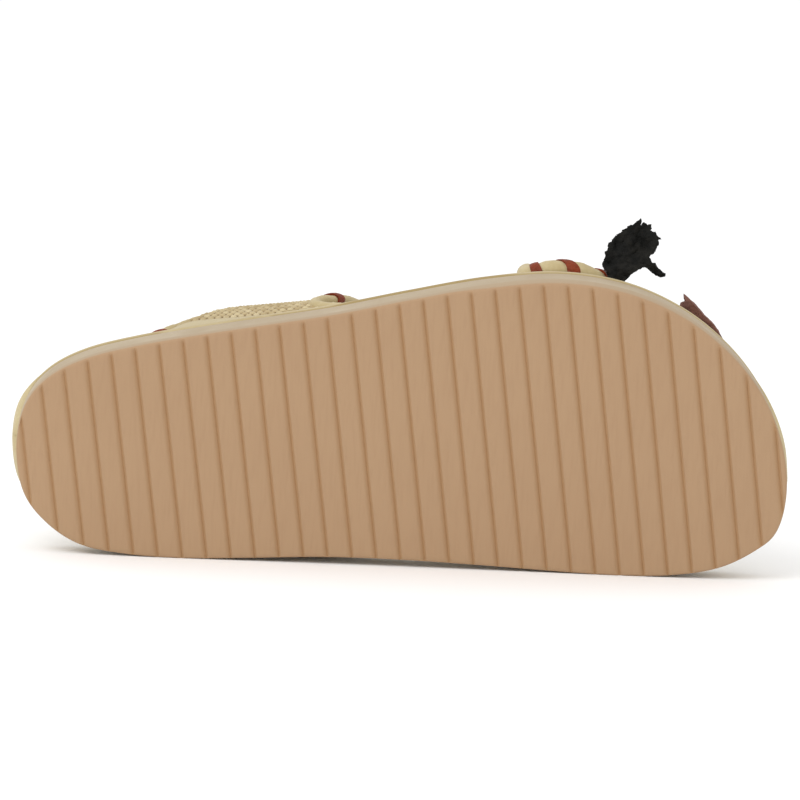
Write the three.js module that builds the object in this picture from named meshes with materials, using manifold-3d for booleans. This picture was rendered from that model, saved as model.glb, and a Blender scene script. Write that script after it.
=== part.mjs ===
// Flat sandal for the right foot, lying on its inner side: a ribbed sole, a footbed, two woven
// bands with rolled bindings and two leather leaves. Millimetres, +Z up, toe towards +X.
// The pieces are drawn on a standing shoe: x runs from heel to toe, across runs from the inner
// edge to the outer edge, and height runs up from the tread.

import * as THREE from 'three';
import { mergeVertices } from 'three/addons/utils/BufferGeometryUtils.js';
import Module from 'manifold-3d';

const wasm = await Module();
wasm.setup();

// Sole
const soleLength = 254;
const ballWidth = 98.3;
const outsoleThickness = 4;
const midsoleThickness = 9.5;
const midsoleLip = 1.2;
const midsoleRecess = 4;
const footbedRim = 4.4;
const footbedDish = 2.4;
const archRise = 2;
const fitGap = 0.3;
const rollGap = 0.6;

// Tread
const treadBevel = 0.8;
const ribPitch = 7.94;
const ribSlant = 8.4;
const firstGroove = 0.75;
const grooveWidth = 2.4;
const grooveDepth = 1.2;
const heelLift = 5;
const heelRocker = 33;

// Upper
const instepHeight = 62;
const bandWall = 2.4;
const weaveRelief = 0.7;
const slotDepth = 3;
const bindingRadius = 2.2;
const rearTuck = 3;
const frameRollRadius = 3.2;

// Leaves
const blackLeafLength = 22.5;
const blackLeafTilt = 35;
const blackLeafThickness = 1.4;
const blackLeafInset = 1.6;
const blackLeafHeight = 4.5;
const blackLeafStem = 2;
const brownLeafLength = 45;
const brownLeafThickness = 1.6;
const brownLeafTurn = -0.62;
const brownLeafFacing = { forward: 0.25, outward: 0.1 };
const leafCup = 2.4;

// Fineness of the faceted surfaces
const soleStations = 36;
const rollSides = 8;
const rollSteps = 40;
const bindingSteps = 16;
const frameSteps = 12;
const slotSteps = 3;
const nudge = 0.01;

// Outline of the sole: a row for each sixteenth of the way from heel to toe, as shares of the
// ball width. The way is counted on a half circle, so the rows lie closer at heel and toe.
const outlineRows = [
  { inner: 0.361, outer: 0.361 },
  { inner: 0.209, outer: 0.500 },
  { inner: 0.109, outer: 0.600 },
  { inner: 0.035, outer: 0.670 },
  { inner: 0.007, outer: 0.719 },
  { inner: 0.000, outer: 0.763 },
  { inner: 0.010, outer: 0.807 },
  { inner: 0.023, outer: 0.855 },
  { inner: 0.024, outer: 0.916 },
  { inner: 0.017, outer: 0.972 },
  { inner: 0.007, outer: 1.000 },
  { inner: 0.000, outer: 0.977 },
  { inner: 0.007, outer: 0.913 },
  { inner: 0.038, outer: 0.783 },
  { inner: 0.099, outer: 0.639 },
  { inner: 0.152, outer: 0.475 },
  { inner: 0.313, outer: 0.313 },
];

// Form of the last over the footbed: a row for each tenth of the length, from heel to toe. The
// overhangs are shares of the ball width past the rim, the crown a share of the instep height.
const lastRows = [
  { innerOverhang: 0.000, outerOverhang: -0.020, crown: 1.16 },
  { innerOverhang: 0.006, outerOverhang: -0.016, crown: 1.16 },
  { innerOverhang: 0.014, outerOverhang: -0.006, crown: 1.14 },
  { innerOverhang: 0.018, outerOverhang: -0.022, crown: 1.08 },
  { innerOverhang: 0.016, outerOverhang: -0.030, crown: 0.98 },
  { innerOverhang: 0.010, outerOverhang: -0.034, crown: 0.88 },
  { innerOverhang: 0.004, outerOverhang: -0.030, crown: 0.76 },
  { innerOverhang: 0.006, outerOverhang: -0.028, crown: 0.66 },
  { innerOverhang: 0.004, outerOverhang: -0.028, crown: 0.56 },
  { innerOverhang: 0.000, outerOverhang: -0.030, crown: 0.48 },
  { innerOverhang: 0.000, outerOverhang: -0.030, crown: 0.42 },
];

// Edges of the two bands: nine rows at even turns from the outer foot of the band over the crown
// to its inner foot, as shares of the sole length from the heel.
const instepBand = {
  edgeRows: [
    { rear: 0.161, front: 0.461 },
    { rear: 0.215, front: 0.382 },
    { rear: 0.290, front: 0.425 },
    { rear: 0.355, front: 0.484 },
    { rear: 0.382, front: 0.512 },
    { rear: 0.370, front: 0.492 },
    { rear: 0.327, front: 0.444 },
    { rear: 0.256, front: 0.416 },
    { rear: 0.177, front: 0.461 },
  ],
  outerFootInset: 5.2,
  innerFootInset: 5.2,
  footHeight: -slotDepth,
  rollRadius: bindingRadius,
  tuck: rearTuck,
  turns: 52,
  strips: 10,
};
const toeBand = {
  edgeRows: [
    { rear: 0.647, front: 0.743 },
    { rear: 0.650, front: 0.752 },
    { rear: 0.657, front: 0.772 },
    { rear: 0.665, front: 0.791 },
    { rear: 0.673, front: 0.803 },
    { rear: 0.681, front: 0.811 },
    { rear: 0.689, front: 0.815 },
    { rear: 0.693, front: 0.815 },
    { rear: 0.697, front: 0.811 },
  ],
  outerFootInset: 1,
  innerFootInset: 1.8,
  footHeight: fitGap + frameRollRadius,
  rollRadius: frameRollRadius,
  tuck: 0,
  turns: 40,
  strips: 8,
};

// Share of each half of a band that stands as a wall between the slot and the widest place, the
// height of that place as a share of the crown, how far the arch above it is swelled, and the
// share of the width over which a rear edge is drawn in.
const wallShare = 0.22;
const wallRise = 0.25;
const archSwell = 0.04;
const tuckReach = 0.2;

// Where the roll of the toe band leaves the band's edges to round the corners at the feet, and
// its places along each foot as shares of the band's width
const frameReach = 0.86;
const frameFeet = [0.3, 0.5, 0.7];

// Section of a groove: a row for each corner from the toe side, as shares of width and depth
const grooveRows = [
  { back: 0.00, deep: -1.00 },
  { back: 0.00, deep: 0.00 },
  { back: 0.20, deep: 1.00 },
  { back: 0.60, deep: 0.35 },
  { back: 1.00, deep: 0.00 },
  { back: 1.00, deep: -1.00 },
];

// Place and reach of the arch as shares of the length
const archPlace = 0.42;
const archReach = 0.14;

// Points across the footbed between its two edges, as shares of its width
const footbedColumns = [0.06, 0.16, 0.32, 0.5, 0.68, 0.84, 0.94];

// Leaf outlines as shares of the leaf's length. The black leaf lies in its own slanted plane,
// the brown one also falls from the band towards the rim.
const blackLeafRows = [
  { forward: -0.07, outward: -0.29, rise: 0 },
  { forward: -0.09, outward: 0.04, rise: 0 },
  { forward: -0.20, outward: 0.26, rise: 0 },
  { forward: -0.17, outward: 0.44, rise: 0 },
  { forward: -0.06, outward: 0.66, rise: 0 },
  { forward: 0.02, outward: 0.77, rise: 0 },
  { forward: 0.19, outward: 0.90, rise: 0 },
  { forward: 0.34, outward: 1.00, rise: 0 },
  { forward: 0.35, outward: 0.91, rise: 0 },
  { forward: 0.49, outward: 0.95, rise: 0 },
  { forward: 0.50, outward: 0.84, rise: 0 },
  { forward: 0.64, outward: 0.71, rise: 0 },
  { forward: 0.61, outward: 0.57, rise: 0 },
  { forward: 0.50, outward: 0.42, rise: 0 },
  { forward: 0.47, outward: 0.36, rise: 0 },
  { forward: 0.72, outward: 0.10, rise: 0 },
  { forward: 0.47, outward: 0.18, rise: 0 },
  { forward: 0.36, outward: 0.19, rise: 0 },
  { forward: 0.11, outward: -0.03, rise: 0 },
  { forward: 0.04, outward: -0.29, rise: 0 },
];
const brownLeafRows = [
  { forward: 0.00, outward: -0.04, rise: 0.00 },
  { forward: 0.00, outward: 0.04, rise: 0.00 },
  { forward: 0.18, outward: 0.05, rise: -0.13 },
  { forward: 0.34, outward: -0.03, rise: -0.27 },
  { forward: 0.43, outward: -0.09, rise: -0.34 },
  { forward: 0.45, outward: -0.06, rise: -0.33 },
  { forward: 0.46, outward: -0.05, rise: -0.31 },
  { forward: 0.47, outward: -0.01, rise: -0.27 },
  { forward: 0.53, outward: -0.06, rise: -0.33 },
  { forward: 0.56, outward: -0.10, rise: -0.34 },
  { forward: 0.67, outward: -0.20, rise: -0.37 },
  { forward: 0.70, outward: -0.24, rise: -0.37 },
  { forward: 0.86, outward: -0.53, rise: -0.37 },
  { forward: 0.66, outward: -0.56, rise: -0.28 },
  { forward: 0.40, outward: -0.46, rise: -0.16 },
  { forward: 0.18, outward: -0.24, rise: -0.06 },
];

const degree = Math.PI / 180;
const slantRun = Math.tan(ribSlant * degree);
const midsoleBottom = outsoleThickness + fitGap;
const midsoleTop = midsoleBottom + midsoleThickness;
const footbedBottom = midsoleTop + fitGap;
const rimHeight = footbedBottom + footbedRim;

// Curves through rows of a table

function through(before, from, to, after, share) {
  const bend = 2 * before - 5 * from + 4 * to - after;
  const twist = 3 * from - before - 3 * to + after;
  return from + (share / 2) * (to - before + share * (bend + share * twist));
}

// Value of one column at a share from the first row to the last, carried on a little past both.
function columnAt(rows, name, share) {
  const last = rows.length - 1;
  const place = share * last;
  const row = THREE.MathUtils.clamp(Math.floor(place), 0, last - 1);
  const value = (index) => rows[THREE.MathUtils.clamp(index, 0, last)][name];
  return through(value(row - 1), value(row), value(row + 1), value(row + 2), place - row);
}

// The outline as one closed run of rows: out along the outer edge and back along the inner one.
const outlineSteps = outlineRows.length - 1;
const outlineLoop = [
  ...outlineRows.map((row) => row.outer),
  ...outlineRows.slice(1, outlineSteps).reverse().map((row) => row.inner),
];

function outlineAcross(station, side) {
  const place = (side === 'outer' ? station : 2 - station) * outlineSteps;
  const row = Math.floor(place);
  const value = (index) => outlineLoop[(index + outlineLoop.length) % outlineLoop.length];
  const share = through(value(row - 1), value(row), value(row + 1), value(row + 2), place - row);
  return share * ballWidth;
}

function stationLength(station) {
  return (soleLength * (1 - Math.cos(Math.PI * station))) / 2;
}

function stationOf(x) {
  return Math.acos(THREE.MathUtils.clamp(1 - (2 * x) / soleLength, -1, 1)) / Math.PI;
}

function edgeAcross(x, side) {
  return outlineAcross(stationOf(x), side);
}

// Point of the outline moved in from the edge. Outer and inner edge have one point a station.
function edgePoint(index, inset) {
  const count = 2 * soleStations;
  const at = (step) => {
    const turn = ((step + count) % count) / soleStations;
    const station = turn <= 1 ? turn : 2 - turn;
    const side = turn <= 1 ? 'outer' : 'inner';
    return new THREE.Vector2(stationLength(station), outlineAcross(station, side));
  };
  const along = at(index + 1).sub(at(index - 1)).normalize();
  return at(index).add(new THREE.Vector2(along.y, -along.x).multiplyScalar(inset));
}

// Lift of the tread at the heel, the same all along a rib
function heelRise(x, across) {
  const fromHeel = x + across * slantRun;
  const share = Math.max(0, 1 - fromHeel / heelRocker);
  return heelLift * share * share;
}

// Solids

// A shoe place as x, y, z: the outer side of a right shoe is to the right, towards -Y.
function shoePoint(x, across, height) {
  return new THREE.Vector3(x, -across, height);
}

function solidGeometry(points, triangles) {
  const geometry = new THREE.BufferGeometry();
  const places = points.flatMap((point) => [point.x, point.y, point.z]);
  geometry.setAttribute('position', new THREE.Float32BufferAttribute(places, 3));
  geometry.setIndex(triangles.flat());
  return geometry;
}

function toManifold(geometry) {
  const bare = geometry.clone();
  bare.deleteAttribute('normal');
  bare.deleteAttribute('uv');
  const merged = mergeVertices(bare, 1e-4);
  const vertProperties = new Float32Array(merged.attributes.position.array);
  const triVerts = new Uint32Array(merged.index.array);
  return new wasm.Manifold(new wasm.Mesh({ numProp: 3, vertProperties, triVerts }));
}

function fromManifold(solid) {
  const mesh = solid.getMesh();
  const geometry = new THREE.BufferGeometry();
  geometry.setAttribute('position', new THREE.BufferAttribute(mesh.vertProperties, 3));
  geometry.setIndex(new THREE.BufferAttribute(mesh.triVerts, 1));
  return geometry;
}

function cutBy(geometry, cutters) {
  const cutAway = (solid, cutter) => solid.subtract(toManifold(cutter));
  return fromManifold(cutters.reduce(cutAway, toManifold(geometry)));
}

// A layer of the sole: rings round the edge from the underside to the top, closed below and above
// by strips across. The column shares say where the strips across have their points.
function soleLayer(rings, bottomHeight, topHeight, columns) {
  const count = 2 * soleStations;
  const points = [];
  const triangles = [];
  for (const ring of rings) {
    for (let index = 0; index < count; index += 1) {
      const edge = edgePoint(index, ring.inset);
      points.push(shoePoint(edge.x, edge.y, ring.height(edge.x, edge.y)));
    }
  }
  for (let level = 0; level + 1 < rings.length; level += 1) {
    for (let index = 0; index < count; index += 1) {
      const a = level * count + index;
      const b = level * count + ((index + 1) % count);
      triangles.push([a, b, a + count], [b, b + count, a + count]);
    }
  }
  const addCap = (level, height, inward) => {
    const rowAt = (station) => {
      const outer = level * count + station;
      const inner = level * count + ((count - station) % count);
      const row = [outer];
      for (const column of columns) {
        const place = points[outer].clone().lerp(points[inner], column);
        place.z = height(place.x, -place.y, column);
        row.push(points.push(place) - 1);
      }
      return [...row, inner];
    };
    const addTriangle = (a, b, c) => {
      if (a !== b && b !== c && c !== a) triangles.push(inward ? [a, c, b] : [a, b, c]);
    };
    const tip = (station) => Array(columns.length + 2).fill(level * count + station);
    let last = tip(0);
    for (let station = 1; station <= soleStations; station += 1) {
      const next = station === soleStations ? tip(soleStations) : rowAt(station);
      for (let column = 0; column + 1 < last.length; column += 1) {
        addTriangle(last[column], next[column], last[column + 1]);
        addTriangle(last[column + 1], next[column], next[column + 1]);
      }
      last = next;
    }
  };
  addCap(0, bottomHeight, true);
  addCap(rings.length - 1, topHeight, false);
  return solidGeometry(points, triangles);
}

// Slanted grooves: soft towards the heel and steep towards the toe
function treadGrooves() {
  const cutters = [];
  const step = ribPitch / Math.cos(ribSlant * degree);
  const reach = soleLength + ballWidth * slantRun;
  const before = shoePoint(slantRun, -1, 0).multiplyScalar(ballWidth / 2);
  for (let start = firstGroove; start < reach; start += step) {
    const corners = grooveRows.map((row) => {
      const back = row.back * grooveWidth;
      return new THREE.Vector2(-back, heelRise(start - back, 0) + row.deep * grooveDepth);
    });
    const depth = 2 * ballWidth;
    const cutter = new THREE.ExtrudeGeometry(new THREE.Shape(corners), { depth, bevelEnabled: false });
    // The run of the extrusion is laid towards the outer side, then turned to the slant.
    cutter.rotateX(Math.PI / 2);
    cutter.rotateZ(-ribSlant * degree);
    cutter.translate(start + before.x, before.y, 0);
    cutters.push(cutter);
  }
  return cutters;
}

function outsoleGeometry() {
  const over = (height) => (x, across) => heelRise(x, across) + height;
  const rings = [
    { inset: treadBevel, height: over(0) },
    { inset: 0, height: over(treadBevel) },
    { inset: 0, height: over(outsoleThickness) },
  ];
  const block = soleLayer(rings, over(0), over(outsoleThickness), []);
  return cutBy(block, treadGrooves());
}

function midsoleGeometry() {
  const floor = midsoleTop - midsoleRecess;
  const under = (x, across) => heelRise(x, across) + midsoleBottom;
  const rings = [
    { inset: 0, height: under },
    { inset: 0, height: () => midsoleTop },
    { inset: midsoleLip, height: () => midsoleTop },
    { inset: midsoleLip + fitGap, height: () => floor },
  ];
  return soleLayer(rings, under, () => floor, []);
}

// Top of the footbed: dished between its edges and raised under the arch
function footbedTop(x, across, column) {
  const dish = footbedDish * (1 - (2 * column - 1) ** 4);
  const fromArch = (x / soleLength - archPlace) / archReach;
  const towardsInner = column ** 2 * (1 - column ** 8);
  return rimHeight - dish + archRise * Math.exp(-fromArch * fromArch) * towardsInner;
}

function footbedGeometry(slots) {
  const floor = midsoleTop - midsoleRecess + fitGap;
  const rings = [
    { inset: midsoleLip + 3 * fitGap, height: () => floor },
    { inset: midsoleLip + 2 * fitGap, height: () => footbedBottom },
    { inset: 0, height: () => footbedBottom },
    { inset: 0, height: () => rimHeight },
  ];
  return cutBy(soleLayer(rings, () => floor, footbedTop, footbedColumns), slots);
}

// Bands of the upper

// Middle of a band's wall: the turn goes from -1 at the outer slot over 0 at the crown to 1 at
// the inner slot, and the share from 0 at the rear edge to 1 at the front edge.
function bandMiddle(band, turn, share) {
  const along = (turn + 1) / 2;
  const rear = columnAt(band.edgeRows, 'rear', along);
  const front = columnAt(band.edgeRows, 'front', along);
  const station = THREE.MathUtils.lerp(rear, front, share);
  const x = station * soleLength;
  const side = turn < 0 ? 'outer' : 'inner';
  const outwards = turn < 0 ? 1 : -1;
  const edge = edgeAcross(x, side);
  const overhang = ballWidth * columnAt(lastRows, `${side}Overhang`, station);
  const widest = edge + outwards * (overhang - bandWall / 2);
  const crown = instepHeight * columnAt(lastRows, 'crown', station);
  const wallHeight = crown * wallRise;
  const half = Math.abs(turn);
  const fall = Math.max(0, (half - 1 + wallShare) / wallShare);
  const tuck = band.tuck * Math.max(0, 1 - share / tuckReach) ** 2 * Math.max(0, 1 - fall);
  if (fall > 0) {
    const foot = edge - outwards * band[`${side}FootInset`];
    const across = widest + (foot - widest) * fall * fall - outwards * tuck;
    return shoePoint(x, across, rimHeight + wallHeight - fall * (wallHeight - band.footHeight));
  }
  const angle = (Math.PI / 2) * (1 - half / (1 - wallShare));
  const swell = 1 + archSwell * Math.sin(2 * angle) ** 2;
  const middle = (edge + edgeAcross(x, turn < 0 ? 'inner' : 'outer')) / 2;
  const across = middle + ((widest - middle) * swell - outwards * tuck) * Math.cos(angle);
  const arch = ((crown - wallHeight) * swell - tuck) * Math.sin(angle);
  return shoePoint(x, across, rimHeight + wallHeight + arch);
}

function bandNormal(band, turn, share) {
  const along = bandMiddle(band, turn + nudge, share).sub(bandMiddle(band, turn - nudge, share));
  const over = bandMiddle(band, turn, share + nudge).sub(bandMiddle(band, turn, share - nudge));
  return over.cross(along).normalize();
}

// A wall over the grid of turns and shares, with its two skins at their depths from the middle
function bandWallGeometry(band, turns, sharesAt, depthOut, depthIn) {
  const points = [];
  const triangles = [];
  const width = sharesAt(turns[0]).length;
  const layer = turns.length * width;
  for (const depth of [depthOut, () => -depthIn]) {
    turns.forEach((turn, row) => {
      sharesAt(turn).forEach((share, column) => {
        const normal = bandNormal(band, turn, share);
        points.push(bandMiddle(band, turn, share).addScaledVector(normal, depth(row, column)));
      });
    });
  }
  const addFace = (a, b, c, d) => triangles.push([a, b, c], [a, c, d]);
  for (let row = 0; row + 1 < turns.length; row += 1) {
    for (let column = 0; column + 1 < width; column += 1) {
      const a = row * width + column;
      addFace(a, a + 1, a + width + 1, a + width);
      addFace(layer + a, layer + a + width, layer + a + width + 1, layer + a + 1);
    }
    const rear = row * width;
    const front = rear + width - 1;
    addFace(rear, rear + width, layer + rear + width, layer + rear);
    addFace(front, layer + front, layer + front + width, front + width);
  }
  for (let column = 0; column + 1 < width; column += 1) {
    const first = column;
    const last = layer - width + column;
    addFace(first, layer + first, layer + first + 1, first + 1);
    addFace(last, last + 1, layer + last + 1, layer + last);
  }
  return solidGeometry(points, triangles);
}

function evenSteps(from, to, count) {
  return Array.from({ length: count + 1 }, (_, step) => THREE.MathUtils.lerp(from, to, step / count));
}

// Share of the band's width that its rolled edge and the gap beside it take up at one turn
function edgeMargin(band, turn, edge) {
  const over = bandMiddle(band, turn, 1).sub(bandMiddle(band, turn, 0));
  const along = bandMiddle(band, turn + nudge, edge).sub(bandMiddle(band, turn - nudge, edge));
  const clear = over.clone().cross(along.normalize()).length();
  return (band.rollRadius + rollGap) / clear;
}

// Shares across the band's width at one turn, clear of both rolled edges
function clearShares(band, turn) {
  return evenSteps(edgeMargin(band, turn, 0), 1 - edgeMargin(band, turn, 1), band.strips);
}

// Woven wall: every other crossing of its strips is raised.
function wovenGeometry(band, turns) {
  const raised = (row, column) => bandWall / 2 - weaveRelief * ((row + column) % 2);
  return bandWallGeometry(band, turns, (turn) => clearShares(band, turn), raised, bandWall / 2);
}

// A round roll through points, closed at both ends
function rollGeometry(points, radius) {
  const section = new THREE.Shape().absarc(0, 0, radius, 0, 2 * Math.PI);
  return new THREE.ExtrudeGeometry(section, {
    steps: rollSteps,
    curveSegments: rollSides / 2,
    bevelEnabled: false,
    extrudePath: new THREE.CatmullRomCurve3(points),
  });
}

// The rolled edges of the instep band, and the room that they need in what lies beside them
function bindingPoints(band, edge) {
  return evenSteps(-1, 1, bindingSteps).map((turn) => bandMiddle(band, turn, edge));
}

function bindingGeometry(band, edge) {
  return rollGeometry(bindingPoints(band, edge), bindingRadius);
}

function bindingCutters(band) {
  const past = (before, end) => end.clone().add(end.clone().sub(before).setLength(rollGap));
  return [0, 1].map((edge) => {
    const points = bindingPoints(band, edge);
    const ends = [past(points[1], points[0]), past(points.at(-2), points.at(-1))];
    return rollGeometry([ends[0], ...points, ends[1]], bindingRadius + rollGap);
  });
}

function instepWallGeometry(band) {
  const wall = wovenGeometry(band, evenSteps(-1, 1, band.turns));
  return cutBy(wall, bindingCutters(band));
}

// Part of a turn that a length takes up on the wall over a foot
function turnOf(band, side, length) {
  const foot = bandMiddle(band, side, 0.5);
  const above = bandMiddle(band, side * (1 - nudge), 0.5);
  return (nudge * length) / foot.distanceTo(above);
}

// Room for the feet of the instep band, from below each foot to above the footbed
function slotCutters(band) {
  const depth = bandWall / 2 + fitGap;
  const shares = () => evenSteps(0, 1, band.strips);
  const slots = [-1, 1].map((side) => {
    const below = side * (1 + turnOf(band, side, fitGap));
    const above = side * (1 - turnOf(band, side, slotDepth + bandWall));
    const turns = evenSteps(Math.min(below, above), Math.max(below, above), slotSteps);
    return bandWallGeometry(band, turns, shares, () => depth, depth);
  });
  return [...slots, ...bindingCutters(band)];
}

// Closed path of the roll that frames the toe band: outer foot, front edge, inner foot, rear edge
function framePath(band) {
  const turns = evenSteps(-frameReach, frameReach, frameSteps);
  const points = [
    ...frameFeet.map((share) => bandMiddle(band, -1, share)),
    ...turns.map((turn) => bandMiddle(band, turn, 1)),
    ...frameFeet.toReversed().map((share) => bandMiddle(band, 1, share)),
    ...turns.toReversed().map((turn) => bandMiddle(band, turn, 0)),
  ];
  return new THREE.CatmullRomCurve3(points, true, 'centripetal');
}

function frameGeometry(band, radius) {
  return new THREE.TubeGeometry(framePath(band), 2 * rollSteps, radius, rollSides, true);
}

function toePanelGeometry(band) {
  const end = 1 - turnOf(band, -1, band.rollRadius + rollGap);
  const panel = wovenGeometry(band, evenSteps(-end, end, band.turns));
  return cutBy(panel, [frameGeometry(band, band.rollRadius + fitGap)]);
}

// A leather leaf from its outline rows: two skins that fan out from the middle over a ring. The
// middle is cupped along the normal.
function leafGeometry(rows, length, thickness, origin, normal) {
  const ringShare = 0.5;
  const ringCup = leafCup * (1 - ringShare * ringShare);
  const rim = rows.map((row) => {
    const way = shoePoint(row.forward, row.outward, row.rise).multiplyScalar(length);
    return way.add(origin);
  });
  const middle = rim.reduce((sum, point) => sum.add(point), new THREE.Vector3()).divideScalar(rim.length);
  const count = rim.length;
  const skin = (depth) => [
    ...rim,
    ...rim.map((point) => point.clone().lerp(middle, ringShare).addScaledVector(normal, ringCup)),
    middle.clone().addScaledVector(normal, leafCup),
  ].map((point) => point.clone().addScaledVector(normal, depth));
  const points = [...skin(thickness / 2), ...skin(-thickness / 2)];
  const layer = 2 * count + 1;
  const triangles = [];
  for (let index = 0; index < count; index += 1) {
    const next = (index + 1) % count;
    for (const side of [0, 1]) {
      const base = side * layer;
      const add = (a, b, c) => triangles.push(side ? [base + a, base + b, base + c] : [a, c, b]);
      add(index, count + index, count + next);
      add(index, count + next, next);
      add(count + index, 2 * count, count + next);
    }
    triangles.push([index, layer + next, next], [index, layer + index, layer + next]);
  }
  return solidGeometry(points, triangles);
}

function blackLeafGeometry() {
  const roll = bandMiddle(toeBand, -1, 1);
  const x = roll.x + frameRollRadius + rollGap + blackLeafStem;
  const across = edgeAcross(x, 'outer') - blackLeafInset;
  const tilt = blackLeafTilt * degree;
  const rows = blackLeafRows.map((row) => ({
    forward: row.forward,
    outward: row.outward * Math.cos(tilt),
    rise: row.outward * Math.sin(tilt),
  }));
  const normal = shoePoint(0, -Math.sin(tilt), Math.cos(tilt));
  const origin = shoePoint(x, across, rimHeight + blackLeafHeight);
  return leafGeometry(rows, blackLeafLength, blackLeafThickness, origin, normal);
}

function brownLeafGeometry() {
  const origin = bandMiddle(toeBand, brownLeafTurn, 1);
  origin.x += frameRollRadius + rollGap;
  const normal = shoePoint(brownLeafFacing.forward, brownLeafFacing.outward, 1).normalize();
  return leafGeometry(brownLeafRows, brownLeafLength, brownLeafThickness, origin, normal);
}

// The pieces, still standing on the tread

function leather(color, roughness) {
  return new THREE.MeshStandardMaterial({ color, roughness, metalness: 0 });
}

const finishes = {
  tread: leather('#b89676', 0.7),
  foam: leather('#bdae95', 0.75),
  cover: leather('#cdbc92', 0.7),
  raffia: leather('#d0bc90', 0.8),
  roll: leather('#c8b68a', 0.75),
  black: leather('#1d1d18', 0.75),
  brown: leather('#643f36', 0.7),
};

const pieces = [
  ['outsole', outsoleGeometry(), finishes.tread],
  ['midsole', midsoleGeometry(), finishes.foam],
  ['footbed', footbedGeometry(slotCutters(instepBand)), finishes.cover],
  ['instep_band', instepWallGeometry(instepBand), finishes.raffia],
  ['instep_rear_binding', bindingGeometry(instepBand, 0), finishes.roll],
  ['instep_front_binding', bindingGeometry(instepBand, 1), finishes.roll],
  ['toe_band', toePanelGeometry(toeBand), finishes.raffia],
  ['toe_band_binding', frameGeometry(toeBand, frameRollRadius), finishes.roll],
  ['black_leaf', blackLeafGeometry(), finishes.black],
  ['brown_leaf', brownLeafGeometry(), finishes.brown],
];

const shoe = new THREE.Group();
for (const [name, geometry, material] of pieces) {
  const bare = geometry.clone();
  bare.deleteAttribute('normal');
  bare.deleteAttribute('uv');
  const merged = mergeVertices(bare, 1e-4);
  merged.computeVertexNormals();
  const mesh = new THREE.Mesh(merged, material);
  mesh.name = name;
  shoe.add(mesh);
}

// The shoe laid on its inner side: two corners of the tread's inner edge and the place of the
// upper that stands out furthest from them lie on the floor.

function cornersOf(mesh) {
  const places = mesh.geometry.attributes.position;
  const corners = [];
  for (let index = 0; index < places.count; index += 1) {
    corners.push(new THREE.Vector3().fromBufferAttribute(places, index));
  }
  return corners;
}

function restingBasis() {
  const soleCorners = cornersOf(shoe.children[0]);
  const innermost = (corners) => corners.reduce((best, corner) => (corner.y > best.y ? corner : best));
  const heelCorner = innermost(soleCorners.filter((corner) => corner.x < soleLength / 2));
  const ballCorner = innermost(soleCorners.filter((corner) => corner.x > soleLength / 2));
  const along = ballCorner.clone().sub(heelCorner).normalize();
  const straightUp = new THREE.Vector3(0, 0, 1);
  const sideways = straightUp.clone().cross(along).normalize();
  const over = along.clone().cross(sideways);
  const ways = shoe.children.flatMap(cornersOf).map((corner) => corner.sub(heelCorner));
  const upper = ways.filter((way) => way.dot(over) > midsoleBottom);
  const lean = Math.max(...upper.map((way) => Math.atan2(way.dot(sideways), way.dot(over))));
  const up = sideways.clone().multiplyScalar(-Math.cos(lean)).addScaledVector(over, Math.sin(lean));
  return { along, up, back: up.clone().cross(along), corner: heelCorner };
}

const resting = restingBasis();
const turned = new THREE.Matrix4().makeBasis(resting.along, resting.back, resting.up).transpose();
shoe.quaternion.setFromRotationMatrix(turned);
shoe.updateMatrixWorld(true);
const extent = new THREE.Box3().setFromObject(shoe, true);
const centre = extent.getCenter(new THREE.Vector3());
shoe.position.set(-centre.x, -centre.y, -extent.min.z);

export default shoe;
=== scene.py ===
import math

import bpy
import numpy as np
from mathutils import Matrix, Vector, noise


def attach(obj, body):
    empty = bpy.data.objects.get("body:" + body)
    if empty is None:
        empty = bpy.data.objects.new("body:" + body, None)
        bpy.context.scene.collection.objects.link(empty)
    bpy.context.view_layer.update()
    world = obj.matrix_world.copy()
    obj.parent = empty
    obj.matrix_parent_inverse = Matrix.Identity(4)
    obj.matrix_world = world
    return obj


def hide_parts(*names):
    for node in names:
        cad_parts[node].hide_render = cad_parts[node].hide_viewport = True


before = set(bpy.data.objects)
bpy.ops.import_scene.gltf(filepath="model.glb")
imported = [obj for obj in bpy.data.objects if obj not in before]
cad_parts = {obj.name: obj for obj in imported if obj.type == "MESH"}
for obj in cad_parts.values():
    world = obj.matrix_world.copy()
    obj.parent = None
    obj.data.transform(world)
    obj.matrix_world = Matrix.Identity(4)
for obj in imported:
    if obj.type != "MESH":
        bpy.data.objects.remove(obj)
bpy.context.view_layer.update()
print("frame loaded:", ", ".join(sorted(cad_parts)))

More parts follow.
